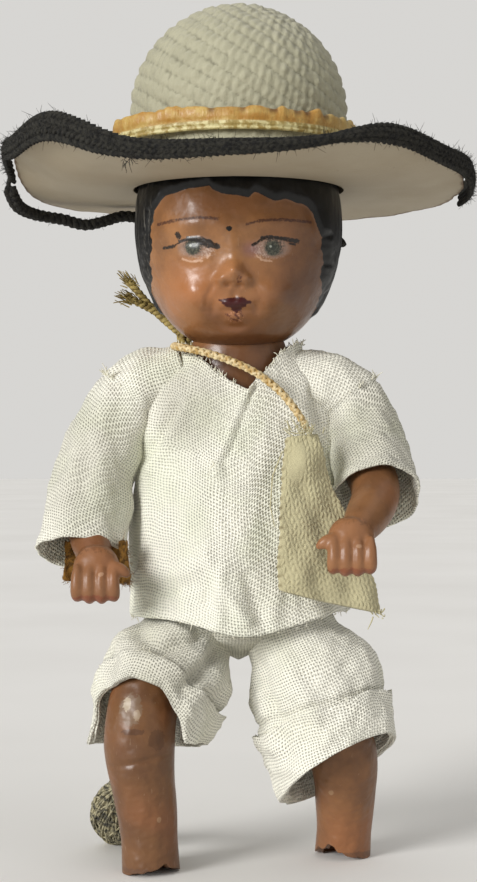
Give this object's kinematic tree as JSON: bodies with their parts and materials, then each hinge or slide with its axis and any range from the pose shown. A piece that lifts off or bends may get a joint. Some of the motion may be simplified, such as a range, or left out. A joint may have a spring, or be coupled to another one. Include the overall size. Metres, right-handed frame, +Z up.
{
  "type": "folk costume doll",
  "caption": "Standing costume doll with a round moulded head, wide-brimmed domed hat, loose cotton shirt, turned-up trousers, bent arms and a woven shoulder bag.",
  "frame": {"origin": "on the ground, under the middle of the hat brim", "axes": "+Z up, -Y the way the doll faces, +X to the doll's left"},
  "size_m": [0.0818, 0.079, 0.1466],
  "materials": {
    "composition": "glossy brown paint, black on the hair",
    "cotton": "open plain weave, unbleached",
    "crown_cord": "twisted cotton cord laid side by side",
    "brim_card": "smooth coated card",
    "gold_braid": "puckered gold braid",
    "dark_braid": "fuzzy charcoal braid",
    "bag_weave": "coarse cream weave",
    "strap_cord": "pale yellow braided cord",
    "felt": "golden brown felt",
    "straw": "coarse woven plant fibre"
  },
  "bodies": {
    "root": {"head_and_torso": "composition", "right_arm": "composition", "left_arm": "composition", "right_leg": "composition", "left_leg": "composition", "shirt": "cotton", "trousers": "cotton", "hat_crown": "crown_cord", "hat_brim": "brim_card", "hat_band": "gold_braid", "brim_braid": "dark_braid", "loose_braid": "dark_braid", "bag": "bag_weave", "bag_strap": "strap_cord", "strap_knot": "strap_cord", "wrist_scrap": "felt", "calf_pad": "straw"}
  },
  "joints": []
}
